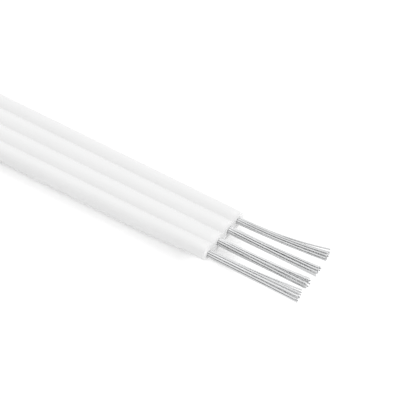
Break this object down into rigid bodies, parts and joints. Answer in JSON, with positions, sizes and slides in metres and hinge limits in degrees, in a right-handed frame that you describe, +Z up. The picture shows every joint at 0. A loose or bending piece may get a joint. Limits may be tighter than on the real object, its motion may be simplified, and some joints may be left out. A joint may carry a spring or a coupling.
{
  "type": "led strip cable",
  "caption": "Flat white four-core ribbon cable for LED strip, stripped at one end to bare tinned strands, spare length wound in a tied coil.",
  "frame": {"origin": "centre of the square-cut face of the insulation, at mid-thickness, where the bare strands come out", "axes": "+X along the cable and out of its stripped end, +Y across the ribbon towards core 1, +Z up from the surface that the cable lies on"},
  "size_m": [0.1082, 0.0882, 0.0072],
  "materials": {
    "insulation": "satin white PVC",
    "strands": "bright tinned copper",
    "tie": "satin plastic strip with a wire core"
  },
  "bodies": {
    "root": {"insulation": "insulation", "insulation_twist": "insulation", "insulation_coil": "insulation", "coil_tie": "tie", "core_1_strand_01": "strands", "core_1_strand_02": "strands", "core_1_strand_03": "strands", "core_1_strand_04": "strands", "core_1_strand_05": "strands", "core_1_strand_06": "strands", "core_1_strand_07": "strands", "core_1_strand_08": "strands", "core_1_strand_09": "strands", "core_1_strand_10": "strands", "core_1_strand_11": "strands", "core_1_strand_12": "strands", "core_1_strand_13": "strands", "core_1_strand_14": "strands", "core_2_strand_01": "strands", "core_2_strand_02": "strands", "core_2_strand_03": "strands", "core_2_strand_04": "strands", "core_2_strand_05": "strands", "core_2_strand_06": "strands", "core_2_strand_07": "strands", "core_2_strand_08": "strands", "core_2_strand_09": "strands", "core_2_strand_10": "strands", "core_2_strand_11": "strands", "core_2_strand_12": "strands", "core_2_strand_13": "strands", "core_2_strand_14": "strands", "core_3_strand_01": "strands", "core_3_strand_02": "strands", "core_3_strand_03": "strands", "core_3_strand_04": "strands", "core_3_strand_05": "strands", "core_3_strand_06": "strands", "core_3_strand_07": "strands", "core_3_strand_08": "strands", "core_3_strand_09": "strands", "core_3_strand_10": "strands", "core_3_strand_11": "strands", "core_3_strand_12": "strands", "core_3_strand_13": "strands", "core_3_strand_14": "strands", "core_4_strand_01": "strands", "core_4_strand_02": "strands", "core_4_strand_03": "strands", "core_4_strand_04": "strands", "core_4_strand_05": "strands", "core_4_strand_06": "strands", "core_4_strand_07": "strands", "core_4_strand_08": "strands", "core_4_strand_09": "strands", "core_4_strand_10": "strands", "core_4_strand_11": "strands", "core_4_strand_12": "strands", "core_4_strand_13": "strands", "core_4_strand_14": "strands"}
  },
  "joints": []
}
